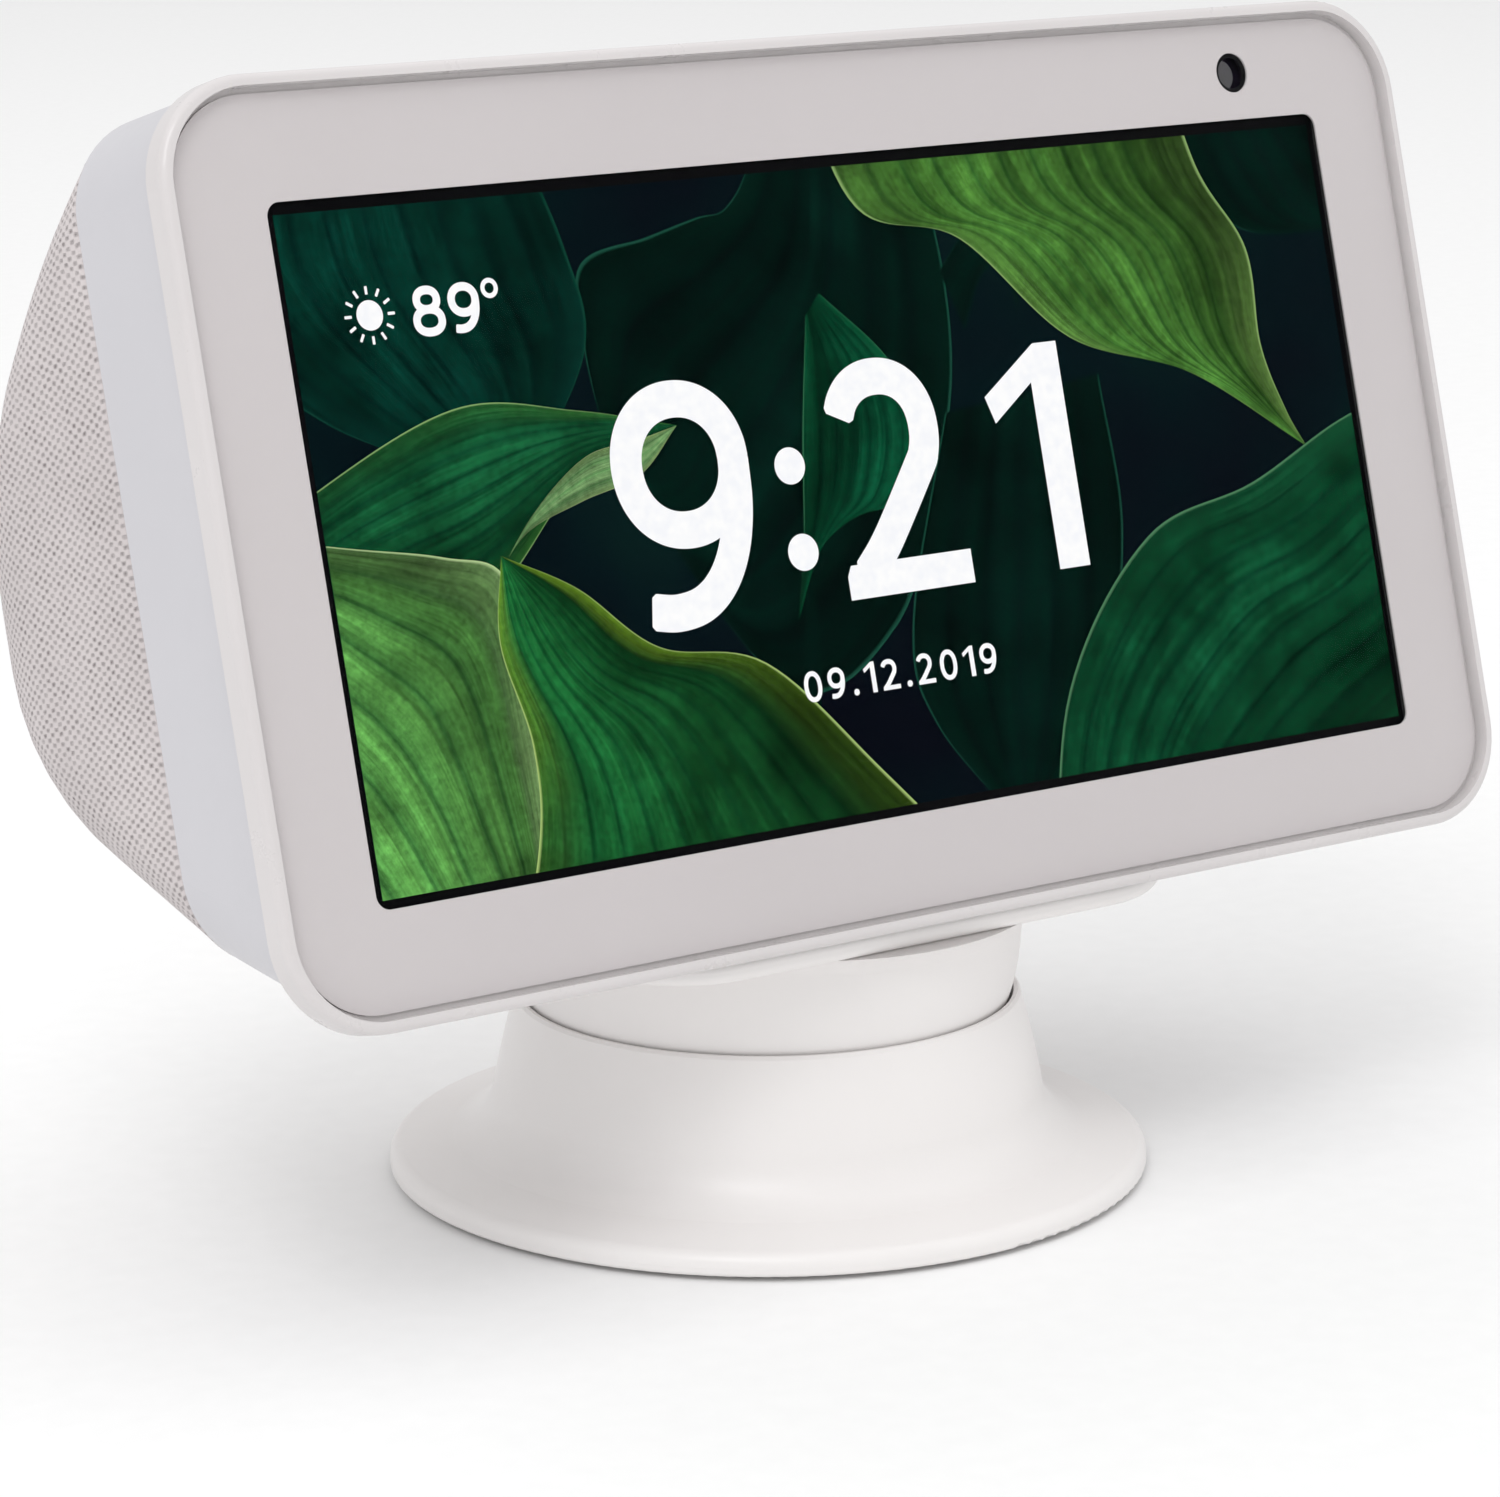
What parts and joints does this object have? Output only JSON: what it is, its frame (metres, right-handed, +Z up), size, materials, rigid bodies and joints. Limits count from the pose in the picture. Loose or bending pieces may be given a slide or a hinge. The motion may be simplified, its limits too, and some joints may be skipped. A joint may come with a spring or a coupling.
{
  "type": "smart display",
  "caption": "Wedge-shaped smart display with a fabric-covered back, held by magnets on a round weighted stand whose ball head tilts it.",
  "frame": {"origin": "centre of the stand's round foot on the floor", "axes": "+Z up, the screen faces -Y, +X to the viewer's right"},
  "size_m": [0.148, 0.0802, 0.116],
  "materials": {
    "stand_plastic": "fine satin moulded plastic, warm white",
    "silicone": "matte silicone",
    "steel": "pressed steel, plated",
    "fasteners": "zinc plated",
    "washer_plastic": "natural nylon",
    "magnet": "nickel plated",
    "frame_plastic": "semi-gloss warm white",
    "band_plastic": "smooth satin, cool white",
    "button_plastic": "satin",
    "blade_plastic": "matte",
    "glass": "polished, clear",
    "ink": "warm grey-white ink behind glass",
    "foam": "matte black foam tape",
    "screen": "lit display panel",
    "diffuser": "white film",
    "shell_plastic": "matte light grey",
    "fabric": "fine woven mesh, light warm grey",
    "board": "green solder mask",
    "chip": "black moulding compound",
    "heat_aluminium": "mill finish",
    "speaker_plastic": "black moulded",
    "paper_cone": "coated paper",
    "lens": "coated black lens",
    "port_plastic": "black moulded",
    "socket_steel": "plated shell",
    "flex": "amber polyimide",
    "lead_rubber": "black insulation"
  },
  "bodies": {
    "base": {"foot_pad": "silicone", "base_plate": "steel", "base_shell": "stand_plastic", "ballast_ring": "steel", "pivot_bracket": "steel", "pivot_pin": "fasteners", "pin_nut": "fasteners", "friction_washers": "washer_plastic", "base_screws": "fasteners"},
    "head": {"head_shell": "stand_plastic", "tray_plate": "stand_plastic", "tray_pad": "silicone", "tray_magnets": "magnet", "head_bracket": "steel", "tray_screws": "fasteners"},
    "display": {"rubber_foot": "silicone", "backlight_pan": "steel", "shield_can": "steel", "attach_plate": "steel", "chassis_plate": "steel", "chassis_screws": "fasteners", "board_screws": "fasteners", "cover_screws": "fasteners", "speaker_magnet": "magnet", "front_frame": "frame_plastic", "housing_band": "band_plastic", "cover_glass": "glass", "ink_mask": "ink", "glass_adhesive": "foam", "screen_gasket": "foam", "lcd_panel": "screen", "backlight": "diffuser", "rear_shell": "shell_plastic", "bottom_cover": "shell_plastic", "fabric_cover": "fabric", "main_board": "board", "button_board": "board", "port_board": "board", "board_chips": "chip", "button_switches": "chip", "microphones": "chip", "camera_module": "chip", "heat_spreader": "heat_aluminium", "speaker_box": "speaker_plastic", "speaker_frame": "speaker_plastic", "speaker_cone": "paper_cone", "camera_lens": "lens", "port_plate": "port_plastic", "power_jack": "port_plastic", "audio_jack": "port_plastic", "usb_socket": "socket_steel", "screen_flex": "flex", "camera_flex": "flex", "speaker_leads": "lead_rubber", "port_lead": "lead_rubber"},
    "mute_button": {"mute_button": "button_plastic"},
    "volume_down_button": {"volume_down_button": "button_plastic"},
    "volume_up_button": {"volume_up_button": "button_plastic"},
    "shutter": {"shutter_blade": "blade_plastic", "shutter_knob": "button_plastic"}
  },
  "joints": [
    {"name": "head_tilt", "type": "hinge", "parent": "base", "child": "head", "pos_m": [0, 0, 0.0259], "axis": [1, 0, 0], "range_deg": [-20, 10]},
    {"name": "display_lift", "type": "slide", "parent": "head", "child": "display", "axis": [0, -0.0872, 0.9962], "range_m": [0, 0.06]},
    {"name": "mute_press", "type": "slide", "parent": "display", "child": "mute_button", "axis": [0, -0.2588, -0.9659], "range_m": [0, 0.0006], "stiffness_N_per_m": 900, "springref_m": -0.0004},
    {"name": "volume_down_press", "type": "slide", "parent": "display", "child": "volume_down_button", "axis": [0, -0.2588, -0.9659], "range_m": [0, 0.0006], "stiffness_N_per_m": 900, "springref_m": -0.0004},
    {"name": "volume_up_press", "type": "slide", "parent": "display", "child": "volume_up_button", "axis": [0, -0.2588, -0.9659], "range_m": [0, 0.0006], "stiffness_N_per_m": 900, "springref_m": -0.0004},
    {"name": "shutter_slide", "type": "slide", "parent": "display", "child": "shutter", "axis": [-1, 0, 0], "range_m": [0, 0.0075]}
  ]
}
